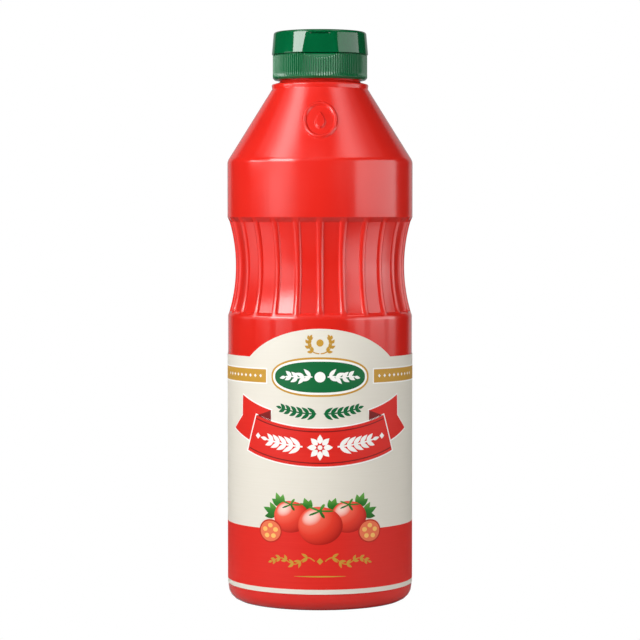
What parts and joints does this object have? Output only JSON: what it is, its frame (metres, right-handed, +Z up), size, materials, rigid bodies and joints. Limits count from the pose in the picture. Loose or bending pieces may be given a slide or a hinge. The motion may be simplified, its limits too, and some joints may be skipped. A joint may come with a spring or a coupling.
{
  "type": "ketchup bottle",
  "caption": "Shut plastic squeeze bottle of ketchup: round body with a ribbed waist to grip, conical shoulder, arched wrap-round label and a green flip-top cap.",
  "frame": {"origin": "centre of the base ring, on the surface that the bottle stands on", "axes": "+Z up along the bottle's axis, -Y out of the front, through the middle of the label and the cap's thumb recess, +X to the right seen from the front"},
  "size_m": [0.0804, 0.0804, 0.2455],
  "materials": {
    "bottle_red": "satin, blow-moulded",
    "label_film": "printed film, satin",
    "cap_green": "gloss, injection-moulded"
  },
  "bodies": {
    "root": {"bottle": "bottle_red", "label": "label_film", "cap_skirt": "cap_green", "cap_lid": "cap_green"}
  },
  "joints": []
}
